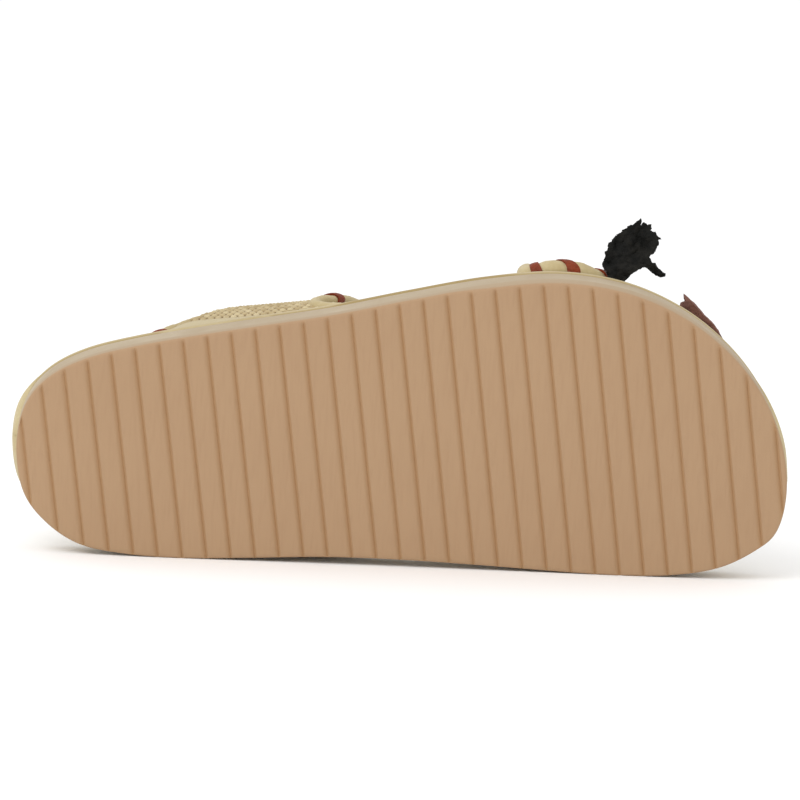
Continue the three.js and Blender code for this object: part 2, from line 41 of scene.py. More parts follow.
# Everything is drawn on a standing shoe in millimetres: x from heel to toe, across from the inner
# to the outer edge, height up from the tread. The matrix lays the finished mesh on its side.
shoe = {
    "length": 254.0,
    "ballWidth": 98.3,
    "instepHeight": 62.0,
    "rimHeight": 18.5,
    "lean": (-84.852, 0.0, 0.004),
    "place": (-127.003, -33.686, -0.059),
    # edges of the sole at each sixteenth of the way from heel to toe, shares of the ball width
    "outer": [0.361, 0.500, 0.600, 0.670, 0.719, 0.763, 0.807, 0.855, 0.916,
              0.972, 1.000, 0.975, 0.898, 0.781, 0.639, 0.475, 0.313],
    "inner": [0.361, 0.209, 0.109, 0.035, 0.007, 0.000, 0.010, 0.023, 0.024,
              0.017, 0.007, 0.000, 0.007, 0.038, 0.101, 0.175, 0.313],
    # the last at each tenth of the length, shares of the ball width and of the instep height
    "innerOverhang": [0.000, 0.006, 0.014, 0.018, 0.016, 0.010, 0.004, 0.006, 0.004, 0.000, 0.000],
    "outerOverhang": [-0.020, -0.016, -0.006, -0.022, -0.030, -0.034,
                      -0.030, -0.028, -0.028, -0.030, -0.030],
    "crown": [1.16, 1.16, 1.14, 1.08, 0.98, 0.88, 0.76, 0.66, 0.56, 0.48, 0.42],
    "wallShare": 0.22,
    "wallRise": 0.25,
    "archSwell": 0.04,
    "tuckReach": 0.2,
    # small steps along the outline and over a band that give its direction
    "edgeStep": 1 / 144,
    "bandStep": 0.01,
    "seamGap": 0.002,
}
lying = (
    Matrix.Scale(0.001, 4)
    @ Matrix.Translation(shoe["place"])
    @ Matrix.Rotation(math.radians(shoe["lean"][0]), 4, "X")
    @ Matrix.Rotation(math.radians(shoe["lean"][2]), 4, "Z")
)


def curveThrough(before, start, end, after, share):
    bend = 2 * before - 5 * start + 4 * end - after
    twist = 3 * start - before - 3 * end + after
    return start + share / 2 * (end - before + share * (bend + share * twist))


def tableAt(rows, share):
    rows = np.asarray(rows, float)
    last = len(rows) - 1
    place = np.asarray(share, float) * last
    row = np.clip(np.floor(place), 0, last - 1).astype(int)
    picked = [rows[np.clip(row + step, 0, last)] for step in (-1, 0, 1, 2)]
    return curveThrough(*picked, place - row)


# turn is 0 at the heel, 1 at the toe by way of the outer edge, and 2 back at the heel
def outlineAcross(turn):
    loop = np.array(shoe["outer"] + shoe["inner"][-2:0:-1])
    place = np.asarray(turn, float) * len(loop) / 2
    row = np.floor(place).astype(int)
    picked = [loop[(row + step) % len(loop)] for step in (-1, 0, 1, 2)]
    return curveThrough(*picked, place - row) * shoe["ballWidth"]


def edgeAcross(x, isOuter):
    station = np.arccos(np.clip(1 - 2 * np.asarray(x, float) / shoe["length"], -1, 1)) / math.pi
    return outlineAcross(np.where(isOuter, station, 2 - station))


def edgePoints(turn, inset):
    def at(place):
        place = place % 2
        station = np.where(place <= 1, place, 2 - place)
        x = shoe["length"] * (1 - np.cos(np.pi * station)) / 2
        return np.stack([x, outlineAcross(place)], -1)
    along = at(turn + shoe["edgeStep"]) - at(turn - shoe["edgeStep"])
    along /= np.linalg.norm(along, axis=-1, keepdims=True)
    return at(turn) + np.stack([along[..., 1], -along[..., 0]], -1) * np.asarray(inset)[..., None]


def shoePoints(x, across, height):
    return np.stack(np.broadcast_arrays(x, -np.asarray(across), height), -1).astype(float)


def bandMiddle(band, turn, share):
    turn, share = np.broadcast_arrays(np.asarray(turn, float), np.asarray(share, float))
    along = (turn + 1) / 2
    rear, front = tableAt(band["rear"], along), tableAt(band["front"], along)
    station = rear + (front - rear) * share
    x = station * shoe["length"]
    isOuter = turn < 0
    outwards = np.where(isOuter, 1.0, -1.0)
    edge = edgeAcross(x, isOuter)
    overhang = np.where(isOuter, tableAt(shoe["outerOverhang"], station),
                        tableAt(shoe["innerOverhang"], station))
    widest = edge + outwards * (shoe["ballWidth"] * overhang - band["wall"] / 2)
    crown = shoe["instepHeight"] * tableAt(shoe["crown"], station)
    wallHeight = crown * shoe["wallRise"]
    half = np.abs(turn)
    fall = (half - 1 + shoe["wallShare"]) / shoe["wallShare"]
    foot = edge - outwards * np.where(isOuter, band["outerInset"], band["innerInset"])
    low = shoePoints(x, widest + (foot - widest) * fall * fall,
                     shoe["rimHeight"] + wallHeight - fall * (wallHeight - band["footHeight"]))
    angle = math.pi / 2 * (1 - half / (1 - shoe["wallShare"]))
    swell = 1 + shoe["archSwell"] * np.sin(2 * angle) ** 2
    middle = (edge + edgeAcross(x, ~isOuter)) / 2
    high = shoePoints(x, middle + (widest - middle) * np.cos(angle) * swell,
                      shoe["rimHeight"] + wallHeight + (crown - wallHeight) * np.sin(angle) * swell)
    # the rear edge is drawn in towards the foot
    drawn = band["rearTuck"] * np.clip(1 - share / shoe["tuckReach"], 0, 1) ** 2
    inward = np.where(fall > 0, 0, angle)
    drawn = drawn * np.clip(1 - fall, 0, 1)
    tuck = shoePoints(0, -outwards * np.cos(inward), -np.sin(inward)) * drawn[..., None]
    return np.where((fall > 0)[..., None], low, high) + tuck


def unit(ways):
    return ways / np.maximum(np.linalg.norm(ways, axis=-1, keepdims=True), 1e-9)


def bandNormal(band, turn, share):
    nudge = shoe["bandStep"]
    along = bandMiddle(band, turn + nudge, share) - bandMiddle(band, turn - nudge, share)
    over = bandMiddle(band, turn, share + nudge) - bandMiddle(band, turn, share - nudge)
    return unit(np.cross(over, along))


# Small steps that every piece goes through

def makeActive(*pieces):
    bpy.ops.object.select_all(action="DESELECT")
    for piece in pieces:
        piece.select_set(True)
    bpy.context.view_layer.objects.active = pieces[0]


def readPoints(piece):
    points = np.zeros(len(piece.data.vertices) * 3)
    piece.data.vertices.foreach_get("co", points)
    return points.reshape(-1, 3)


def writePoints(piece, points):
    piece.data.vertices.foreach_set("co", np.ascontiguousarray(points, float).ravel())
    piece.data.update()


def setAttribute(piece, name, values):
    attribute = piece.data.attributes.new(name, "FLOAT", "POINT")
    attribute.data.foreach_set("value", np.ascontiguousarray(values, np.float32).ravel())


def shapedGrid(name, along, across, place):  # a grid whose vertices go where place(u, v) says
    bpy.ops.object.select_all(action="DESELECT")
    bpy.ops.mesh.primitive_grid_add(x_subdivisions=along, y_subdivisions=across, size=1)
    piece = bpy.context.object
    piece.name = name
    flat = readPoints(piece)[:, :2] + 0.5
    writePoints(piece, place(flat[:, 0], flat[:, 1]))
    return piece


def mergeSeam(piece):
    makeActive(piece)
    bpy.ops.object.mode_set(mode="EDIT")
    bpy.ops.mesh.select_all(action="SELECT")
    bpy.ops.mesh.remove_doubles(threshold=shoe["seamGap"])
    bpy.ops.object.mode_set(mode="OBJECT")


def closeTube(piece):  # merges the seam, fills open ends and turns the faces outwards
    mergeSeam(piece)
    bpy.ops.object.mode_set(mode="EDIT")
    bpy.ops.mesh.select_all(action="SELECT")
    bpy.ops.mesh.fill_holes(sides=0)
    bpy.ops.mesh.select_all(action="SELECT")
    bpy.ops.mesh.normals_make_consistent(inside=False)
    bpy.ops.object.mode_set(mode="OBJECT")


def applyModifier(piece, kind, **settings):
    makeActive(piece)
    modifier = piece.modifiers.new(kind.title(), kind)
    for key, value in settings.items():
        setattr(modifier, key, value)
    bpy.ops.object.modifier_apply(modifier=modifier.name)


def joinPieces(name, pieces):
    makeActive(*pieces)
    if len(pieces) > 1:
        bpy.ops.object.join()
    pieces[0].name = name
    return pieces[0]


def finishPiece(piece, material, replaced=(), smooth=40):
    piece.data.transform(lying)
    piece.data.materials.clear()
    piece.data.materials.append(material)
    makeActive(piece)
    bpy.ops.object.shade_smooth_by_angle(angle=math.radians(smooth))
    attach(piece, "root")
    if replaced:
        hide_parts(*replaced)
    print("made", piece.name, len(piece.data.polygons), "faces")


def outlineDisc(name, corners, inset, height):  # a flat disc in the outline of the sole
    bpy.ops.object.select_all(action="DESELECT")
    bpy.ops.mesh.primitive_circle_add(vertices=corners, radius=1, fill_type="NGON")
    piece = bpy.context.object
    piece.name = name
    edge = edgePoints(2 * np.arange(corners) / corners, inset)
    writePoints(piece, shoePoints(edge[:, 0], edge[:, 1], height))
    return piece


def extrudeDisc(piece, rise, rounding, segments):  # walls of that height, with the far edge rounded
    makeActive(piece)
    bpy.ops.object.mode_set(mode="EDIT")
    bpy.ops.mesh.select_all(action="SELECT")
    bpy.ops.mesh.extrude_region_move(TRANSFORM_OT_translate={"value": (0, 0, rise)})
    bpy.ops.mesh.bevel(offset=rounding, segments=segments, affect="EDGES")
    bpy.ops.mesh.select_all(action="SELECT")
    bpy.ops.mesh.normals_make_consistent(inside=False)
    bpy.ops.object.mode_set(mode="OBJECT")


def insetUnderside(piece, widths):  # rings inside the lowest face
    makeActive(piece)
    for width in widths:
        lowest = min(face.center.z for face in piece.data.polygons)
        for part in (piece.data.vertices, piece.data.edges):
            part.foreach_set("select", [False] * len(part))
        for face in piece.data.polygons:
            face.select = face.center.z < lowest + 0.01 and len(face.vertices) > 4
        bpy.ops.object.mode_set(mode="EDIT")
        bpy.ops.mesh.select_mode(type="FACE")
        bpy.ops.mesh.inset(thickness=width)
        bpy.ops.mesh.select_mode(type="VERT")
        bpy.ops.object.mode_set(mode="OBJECT")


def cutLines(piece, points, normal):
    makeActive(piece)
    bpy.ops.object.mode_set(mode="EDIT")
    for point in points:
        bpy.ops.mesh.select_all(action="SELECT")
        bpy.ops.mesh.bisect(plane_co=point, plane_no=normal)
    bpy.ops.object.mode_set(mode="OBJECT")


# outward and sideways unit ways at each point of a roll
def framesAlong(centres, closed, isLevel=False):
    ahead = np.roll(centres, -1, 0) - np.roll(centres, 1, 0)
    if not closed:
        ahead[0], ahead[-1] = centres[1] - centres[0], centres[-1] - centres[-2]
    ahead = unit(ahead)
    middle = (edgeAcross(centres[:, 0], True) + edgeAcross(centres[:, 0], False)) / 2
    outward = centres - shoePoints(centres[:, 0], middle, shoe["rimHeight"])
    if isLevel:
        outward = np.cross(ahead, (0, 0, 1))
    outward = unit(outward - np.sum(outward * ahead, -1, keepdims=True) * ahead)
    return outward, np.cross(ahead, outward)


def rolledTube(name, centres, radius, sides, closed, isLevel=False):  # takes radius(length, angle)
    outward, sideways = framesAlong(centres, closed, isLevel)
    gapShade = np.linalg.norm(np.diff(centres, axis=0), axis=1)
    length = np.concatenate([[0], np.cumsum(gapShade)])
    steps = len(centres) if closed else len(centres) - 1

    def place(u, v):
        row = np.round(u * steps).astype(int) % len(centres)
        angle = 2 * math.pi * np.round(v * sides) / sides
        reach = radius(length[row], angle)[:, None]
        return centres[row] + reach * (
            outward[row] * np.cos(angle)[:, None] + sideways[row] * np.sin(angle)[:, None])
    piece = shapedGrid(name, steps, sides, place)
    closeTube(piece)
    return piece


def evenPoints(centres, spacing, closed):  # the same path with points at even lengths
    if closed:
        centres = np.vstack([centres, centres[:1]])
    length = np.concatenate([[0], np.cumsum(np.linalg.norm(np.diff(centres, axis=0), axis=1))])
    count = int(round(length[-1] / spacing))
    marks = np.linspace(0, length[-1], count + 1)
    marks = marks[:-1] if closed else marks
    return np.stack([np.interp(marks, length, centres[:, axis]) for axis in range(3)], -1)


def wrinkles(points, size, seed):
    return np.array([noise.noise(Vector(point) / size + Vector((seed, 0, 0))) for point in points])


# Materials: each reads Object coordinates, a grid's UV map or the piece's own attributes

def linear(color):
    shares = [value / 255 for value in color]
    return tuple(c / 12.92 if c <= 0.04045 else ((c + 0.055) / 1.055) ** 2.4 for c in shares)


def startMaterial(name, roughness, **sockets):
    material = bpy.data.materials.new(name)
    material.use_nodes = True
    tree = material.node_tree
    shader = tree.nodes["Principled BSDF"]
    shader.inputs["Roughness"].default_value = roughness
    for socket, value in sockets.items():
        shader.inputs[socket.replace("_", " ")].default_value = value
    return material, tree, shader


def placePattern(tree, turn=0, stretch=(1, 1, 1), kind="Object"):  # turned about Y, in degrees
    source = tree.nodes.new("ShaderNodeTexCoord")
    mapping = tree.nodes.new("ShaderNodeMapping")
    mapping.inputs["Rotation"].default_value = (0, math.radians(turn), 0)
    mapping.inputs["Scale"].default_value = stretch
    tree.links.new(source.outputs[kind], mapping.inputs["Vector"])
    return mapping.outputs["Vector"]


def attributePattern(tree, name):
    node = tree.nodes.new("ShaderNodeAttribute")
    node.attribute_name = name
    return node.outputs["Fac"]


def noisePattern(tree, vector, scale, detail=3.0, rough=0.5):
    node = tree.nodes.new("ShaderNodeTexNoise")
    node.inputs["Scale"].default_value = scale
    node.inputs["Detail"].default_value = detail
    node.inputs["Roughness"].default_value = rough
    tree.links.new(vector, node.inputs["Vector"])
    return node.outputs["Fac"]


def cellPattern(tree, vector, scale, feature="F1"):
    node = tree.nodes.new("ShaderNodeTexVoronoi")
    node.feature = feature
    node.inputs["Scale"].default_value = scale
    tree.links.new(vector, node.inputs["Vector"])
    return node.outputs["Distance"]


def ramp(tree, value, low, high, toLow=0.0, toHigh=1.0):
    node = tree.nodes.new("ShaderNodeMapRange")
    ends = {"From Min": low, "From Max": high, "To Min": toLow, "To Max": toHigh}
    for socket, number in ends.items():
        node.inputs[socket].default_value = number
    tree.links.new(value, node.inputs["Value"])
    return node.outputs["Result"]


def mixed(tree, share, first, second):  # colours as 0-255 values or as sockets
    node = tree.nodes.new("ShaderNodeMix")
    node.data_type = "RGBA"
    tree.links.new(share, node.inputs["Factor"])
    for socket, color in zip((node.inputs[6], node.inputs[7]), (first, second)):
        if isinstance(color, tuple):
            socket.default_value = (*linear(color), 1)
        else:
            tree.links.new(color, socket)
    return node.outputs[2]


def addBump(tree, shader, height, depth, strength=1.0):
    node = tree.nodes.new("ShaderNodeBump")
    node.inputs["Strength"].default_value = strength
    node.inputs["Distance"].default_value = depth
    tree.links.new(height, node.inputs["Height"])
    earlier = shader.inputs["Normal"].links
    if earlier:
        tree.links.new(earlier[0].from_socket, node.inputs["Normal"])
    tree.links.new(node.outputs["Normal"], shader.inputs["Normal"])


def setColor(tree, shader, color):
    tree.links.new(color, shader.inputs["Base Color"])


# Outsole: a ribbed rubber slab, its grooves soft towards the heel and steep towards the toe.
# They run out at the inner edge and fade before the outer one; their hollows get painted shade
outsole = {
    "corners": 320,
    "thickness": 4.0,
    "edgeRound": 0.9,
    "ribPitch": 7.94,
    "ribSlant": 8.4,
    "firstGroove": 0.5,
    "grooveWidth": 2.6,
    "grooveDepth": 0.85,
    "grooveEnd": 2.0,
    "grooveLeft": 0.15,
    "wallAt": 0.27,
    "softness": 1.5,
    "sideFrom": 0.3,
    "pullFrom": 140.0,
    "pullRun": 12.0,
    "pullIn": 0.7,
    "cuts": [0.0, 0.1, 0.19, 0.28, 0.38, 0.5, 0.64, 0.8, 1.0],
    "heelLift": 5.0,
    "heelRocker": 33.0,
    "heelCut": 2.1,
    "flat": (169, 138, 106),
    # painted shade: the darker, warmer colour the grooves' hollows are coloured towards
    "deep": (166, 130, 92),
    "streak": (162, 130, 99),
    "side": (172, 153, 127),
    "roughness": 0.7,
}
slant = math.radians(outsole["ribSlant"])
slantRun = math.tan(slant)
grooveStep = outsole["ribPitch"] / math.cos(slant)
grooveNormal = (math.cos(slant), -math.sin(slant), 0)
heelCuts = np.arange(outsole["heelCut"], outsole["heelRocker"], outsole["heelCut"])


def heelRise(x, across):
    share = np.maximum(0, 1 - (x + across * slantRun) / outsole["heelRocker"])
    return outsole["heelLift"] * share * share


def grooveShare(x, across):  # 0 on the flats, 1 at the bottom of a groove
    back = (outsole["firstGroove"] - (x + across * slantRun)) % grooveStep / outsole["grooveWidth"]
    steep = back / outsole["wallAt"]
    soft = np.clip((1 - back) / (1 - outsole["wallAt"]), 0, 1) ** outsole["softness"]
    return np.where(back < outsole["wallAt"], steep, soft)


def treadMaterial():
    material, tree, shader = startMaterial(
        "treadRubber", outsole["roughness"], Specular_IOR_Level=0.35)
    spread = placePattern(tree)
    along = placePattern(tree, outsole["ribSlant"], (1, 1, 0.05))
    cloud = ramp(tree, noisePattern(tree, spread, 22.0, 4.0), 0.35, 0.65, 0.0, 0.3)
    streaks = ramp(tree, noisePattern(tree, along, 900.0, 2.0), 0.45, 0.75, 0.0, 0.5)
    base = mixed(tree, streaks, outsole["flat"], outsole["streak"])
    base = mixed(tree, cloud, base, outsole["streak"])
    # painted shade in the grooves, where the groove attribute is high
    base = mixed(tree, attributePattern(tree, "groove"), base, outsole["deep"])
    base = mixed(tree, attributePattern(tree, "side"), base, outsole["side"])
    setColor(tree, shader, base)
    addBump(tree, shader, noisePattern(tree, spread, 1500.0, 3.0, 0.6), 0.0001, 0.35)
    addBump(tree, shader, noisePattern(tree, along, 500.0, 2.0), 0.0001, 0.2)
    return material


def makeOutsole():
    piece = outlineDisc("outsole_ribbed", outsole["corners"], 0.0, outsole["thickness"])
    extrudeDisc(piece, -outsole["thickness"], outsole["edgeRound"], 4)
    insetUnderside(piece, [outsole["grooveEnd"] / 2] * 2)
    reach = shoe["length"] + shoe["ballWidth"] * slantRun
    starts = np.arange(outsole["firstGroove"], reach + grooveStep, grooveStep)
    places = [start - cut * outsole["grooveWidth"] for start in starts for cut in outsole["cuts"]]
    cutLines(piece, [(x, 0, 0) for x in [*places, *heelCuts]], grooveNormal)
    points = readPoints(piece)
    x, across, height = points[:, 0], -points[:, 1], points[:, 2]
    under = height < outsole["thickness"] / 2
    fromOuter, fromInner = edgeAcross(x, True) - across, across - edgeAcross(x, False)
    fromEdge = np.minimum(fromOuter, fromInner)
    groove = grooveShare(x, across)
    groove *= np.clip(fromOuter / outsole["grooveEnd"], outsole["grooveLeft"], 1)
    side = np.clip(height / outsole["edgeRound"] - outsole["sideFrom"], 0, 1)
    side *= fromEdge < outsole["edgeRound"]
    height = np.where(under, np.maximum(height, groove * outsole["grooveDepth"]), height)
    # towards the toe the tread is a little narrower than the foam above it
    pull = outsole["pullIn"] * np.clip((x - outsole["pullFrom"]) / outsole["pullRun"], 0, 1)
    across = across - pull * (1 - height / outsole["thickness"]) * across / shoe["ballWidth"]
    writePoints(piece, shoePoints(x, across, height + heelRise(x, across)))
    # the groove share also masks the painted groove shade in the tread colour
    setAttribute(piece, "groove", np.where(under, groove, 0))
    setAttribute(piece, "side", side)
    finishPiece(piece, treadMaterial(), ["outsole"], smooth=50)


# Midsole: a soft foam layer between the tread and the footbed
midsole = {
    "corners": 240,
    "inset": 0.15,
    "bottom": 4.3,
    "top": 14.2,
    "edgeRound": 0.7,
    "foam": (174, 157, 132),
    "pale": (185, 170, 146),
    "roughness": 0.8,
}


def foamMaterial():
    material, tree, shader = startMaterial(
        "midsoleFoam", midsole["roughness"], Specular_IOR_Level=0.25)
    spread = placePattern(tree)
    cloud = ramp(tree, noisePattern(tree, spread, 60.0, 4.0), 0.35, 0.7)
    setColor(tree, shader, mixed(tree, cloud, midsole["foam"], midsole["pale"]))
    addBump(tree, shader, cellPattern(tree, spread, 1400.0), 0.0002, 0.4)
    addBump(tree, shader, noisePattern(tree, spread, 180.0, 3.0), 0.0004, 0.3)
    return material


def makeMidsole():
    piece = outlineDisc("midsole_foam", midsole["corners"], midsole["inset"], midsole["bottom"])
    extrudeDisc(piece, midsole["top"] - midsole["bottom"], midsole["edgeRound"], 3)
    cutLines(piece, [(x, 0, 0) for x in heelCuts], grooveNormal)
    points = readPoints(piece)
    low = points[:, 2] < midsole["bottom"] + 0.01
    points[:, 2] += np.where(low, heelRise(points[:, 0], -points[:, 1]), 0)
    writePoints(piece, points)
    finishPiece(piece, foamMaterial(), ["midsole"], smooth=50)


# Footbed: dished, raised under the arch, covered in cream nubuck with a rolled edge whose lower
# side is painted khaki as shade
footbed = {
    "lengthSteps": 150,
    "widthSteps": 44,
    "inset": 1.6,
    "thickness": 3.2,
    "sink": 0.1,
    "dish": 2.4,
    "archRise": 2.0,
    "archPlace": 0.42,
    "archReach": 0.14,
    "stitchInset": 7.6,
    "stitchLength": 2.6,
    "stitchPitch": 3.9,
    "stitchRadius": 0.32,
    "stitchRound": 0.2,
    "stitchSink": 0.02,
    "cover": (199, 185, 147),
    "shade": (180, 163, 122),
    "thread": (150, 118, 74),
    "threadShade": (105, 82, 51),
}
rimRoll = {
    "across": 1.6,
    "height": 2.2,
    "sides": 20,
    "spacing": 1.6,
    "color": (190, 174, 137),
    "shade": (176, 158, 116),
    # painted shade: the khaki colour of the roll's underside
    "rimUnderShade": (158, 136, 88),
    # where the painted shade under the rolled edge stands wider, shares of the length
    "wideFrom": 0.40,
    "wideTo": 0.64,
    "wideRun": 0.06,
    "wideBy": 2.4,
    # and where none of that painted shade is put
    "bareFrom": 0.18,
    "bareTo": 0.32,
    # how far below the rim the painted shade begins, and how soft its edge is
    "underShadeAt": 3.0,
    "underShadeRun": 0.5,
}


def footbedTop(x, column):
    dish = footbed["dish"] * (1 - (2 * column - 1) ** 4)
    fromArch = (x / shoe["length"] - footbed["archPlace"]) / footbed["archReach"]
    inner = column ** 2 * (1 - column ** 8)
    return shoe["rimHeight"] - dish + footbed["archRise"] * np.exp(-fromArch ** 2) * inner


def nubuckMaterial(name, color, shade, nap, attribute=None, tint=None):
    material, tree, shader = startMaterial(
        name, 0.85, Specular_IOR_Level=0.2, Sheen_Weight=0.15, Sheen_Roughness=0.6)
    spread = placePattern(tree)
    cloud = ramp(tree, noisePattern(tree, spread, 55.0, 5.0, 0.6), 0.35, 0.68)
    fine = ramp(tree, noisePattern(tree, spread, 900.0, 2.0), 0.3, 0.75, 0.0, 0.4)
    base = mixed(tree, fine, mixed(tree, cloud, color, shade), shade)
    if attribute:
        base = mixed(tree, attributePattern(tree, attribute), base, tint)
    setColor(tree, shader, base)
    addBump(tree, shader, noisePattern(tree, spread, nap, 4.0, 0.7), 0.00025, 0.5)
    addBump(tree, shader, noisePattern(tree, spread, 140.0, 3.0), 0.0006, 0.25)
    return material


def makeFootbed():
    def place(u, v):
        outer, inner = edgePoints(u, footbed["inset"]), edgePoints(2 - u, footbed["inset"])
        spot = outer + (inner - outer) * v[:, None]
        return shoePoints(spot[:, 0], spot[:, 1], footbedTop(spot[:, 0], v) - footbed["sink"])
    piece = shapedGrid("footbed_cover", footbed["lengthSteps"], footbed["widthSteps"], place)
    mergeSeam(piece)
    bpy.ops.object.mode_set(mode="EDIT")
    bpy.ops.mesh.select_all(action="SELECT")
    bpy.ops.mesh.normals_make_consistent(inside=False)
    bpy.ops.object.mode_set(mode="OBJECT")
    up = sum(face.normal.z for face in piece.data.polygons)
    applyModifier(piece, "SOLIDIFY", thickness=footbed["thickness"], offset=-1 if up > 0 else 1)
    cover = nubuckMaterial("footbedNubuck", footbed["cover"], footbed["shade"], 1300.0)
    finishPiece(piece, cover, ["footbed"])


def makeRimRoll():
    turns = np.linspace(0, 2, 500, endpoint=False)
    edge = edgePoints(turns, rimRoll["across"])
    middle = shoe["rimHeight"] - rimRoll["height"]
    centres = evenPoints(shoePoints(edge[:, 0], edge[:, 1], middle), rimRoll["spacing"], True)

    def radius(length, angle):
        wide, tall = rimRoll["across"], rimRoll["height"]
        return wide * tall / np.sqrt((tall * np.cos(angle)) ** 2 + (wide * np.sin(angle)) ** 2)
    piece = rolledTube("footbed_rim_roll", centres, radius, rimRoll["sides"], True, True)
    points = readPoints(piece)
    x = points[:, 0] / shoe["length"]
    wide = np.clip((x - rimRoll["wideFrom"]) / rimRoll["wideRun"], 0, 1)
    wide *= np.clip((rimRoll["wideTo"] - x) / rimRoll["wideRun"], 0, 1)
    seen = 1 - (x > rimRoll["bareFrom"]) * (x < rimRoll["bareTo"])
    # the roll's lower side is painted darker khaki as shade
    below = shoe["rimHeight"] - points[:, 2] - rimRoll["underShadeAt"] + rimRoll["wideBy"] * wide
    setAttribute(piece, "rimUnderShade", seen * np.clip(below / rimRoll["underShadeRun"], 0, 1))
    surface = nubuckMaterial(
        "rimNubuck", rimRoll["color"], rimRoll["shade"], 1500.0, "rimUnderShade", rimRoll["rimUnderShade"])
    finishPiece(piece, surface, smooth=60)


def threadMaterial():
    material, tree, shader = startMaterial("footbedThread", 0.6, Specular_IOR_Level=0.4)
    fibres = ramp(tree, noisePattern(tree, placePattern(tree), 2500.0, 2.0), 0.35, 0.7)
    setColor(tree, shader, mixed(tree, fibres, footbed["thread"], footbed["threadShade"]))
    addBump(tree, shader, noisePattern(tree, placePattern(tree), 3000.0, 2.0), 0.0001, 0.5)
    return material


def makeFootbedStitches():
    loop = edgePoints(np.linspace(0, 2, 900, endpoint=False), footbed["stitchInset"])
    path = evenPoints(shoePoints(loop[:, 0], loop[:, 1], 0), footbed["stitchPitch"], True)
    bpy.ops.object.select_all(action="DESELECT")
    bpy.ops.mesh.primitive_cylinder_add(
        vertices=6, radius=footbed["stitchRadius"], depth=footbed["stitchLength"],
        rotation=(0, math.pi / 2, 0))
    model = bpy.context.object
    bpy.ops.object.transform_apply(location=False, rotation=True, scale=False)
    applyModifier(model, "BEVEL", width=footbed["stitchRound"], segments=1)
    copies = []
    ahead = np.roll(path, -1, 0) - np.roll(path, 1, 0)
    for spot, way in zip(path, ahead):
        outer = edgeAcross(spot[0], True) - footbed["inset"]
        inner = edgeAcross(spot[0], False) + footbed["inset"]
        column = float(np.clip((outer + spot[1]) / (outer - inner), 0, 1))
        height = float(footbedTop(spot[0], column)) - footbed["stitchSink"]
        turned = Matrix.Rotation(math.atan2(way[1], way[0]), 4, "Z")
        copy = model.copy()
        copy.data = model.data.copy()
        bpy.context.collection.objects.link(copy)
        copy.data.transform(Matrix.Translation((spot[0], spot[1], height)) @ turned)
        copies.append(copy)
    bpy.data.objects.remove(model)
    finishPiece(joinPieces("footbed_stitches", copies), threadMaterial())


# Bands: a woven raffia wall with a leather lining, rolled edges and a lace whipped round them
instepBand = {
    "rear": [0.161, 0.215, 0.290, 0.355, 0.382, 0.370, 0.327, 0.256, 0.177],
    "front": [0.461, 0.382, 0.425, 0.484, 0.512, 0.492, 0.444, 0.416, 0.461],
    "rearTuck": 3.0,
    "outerInset": 5.2,
    "innerInset": 5.2,
    "footHeight": -3.0,
    "wall": 2.4,
    "stepsAcross": 96,
    "stepsAlong": 400,
    "rollRadius": 2.2,
    "weaveTurns": 0.985,
    "rollTurns": 0.985,
}
toeBand = {
    "rear": [0.658, 0.656, 0.659, 0.665, 0.673, 0.681, 0.689, 0.693, 0.697],
    "front": [0.743, 0.752, 0.772, 0.791, 0.803, 0.811, 0.815, 0.815, 0.811],
    "rearTuck": 0.0,
    "outerInset": 1.0,
    "innerInset": 1.8,
    "footHeight": 3.8,
    "wall": 2.4,
    "stepsAcross": 64,
    "stepsAlong": 300,
    "rollRadius": 3.4,
    "weaveTurns": 0.97,
    # the frame's way round: its feet over the band's length, and its knots along each edge
    "frameFeet": [0.3, 0.5, 0.7],
    "frameReach": 0.86,
    "frameKnots": 13,
    "frameSides": 24,
}
weave = {
    "across": 2.5,
    "along": 6.5,
    "relief": 1.3,
    "tones": 64,
    "plainFrom": 0.83,
    "plainFade": 0.012,
    "plainRise": 0.2,
    "wallThickness": 1.3,
    "liningThickness": 0.8,
    "liningSteps": 14,
    "straw": (176, 154, 110),
    "pale": (205, 188, 147),
    # dark fibres, and painted shade in the gaps between strands
    "dark": (104, 70, 30),
    "plain": (190, 175, 140),
    "lining": (190, 174, 138),
}
roll = {
    "color": (196, 181, 142),
    "shade": (172, 153, 108),
    "sides": 20,
    "spacing": 1.1,
    "pinch": 0.30,
    "pinchReach": 2.2,
    "wrinkle": 0.10,
    "waves": (2.1, 0.83),
}
lace = {
    "width": 3.3,
    "thickness": 0.8,
    "stand": 0.3,
    "crown": 0.18,
    "slant": 2.3,
    "uneven": 0.15,
    "unevenTurn": 2.4,
    "sides": 26,
    "pitch": 11.3,
    "color": (128, 50, 14),
    "dark": (92, 36, 14),
    # lengths along each roll from the outer foot: the first laces, where the even row begins,
    # and how much is left bare at the end
    "rear": {"first": [9.5], "next": 66.0, "bare": 3.0},
    "front": {"first": [0.8, 44.8], "next": 68.0, "bare": 3.0},
    "frame": {"first": [-5.8, 4.6, 17.6], "next": 28.9, "bare": 35.0},
}


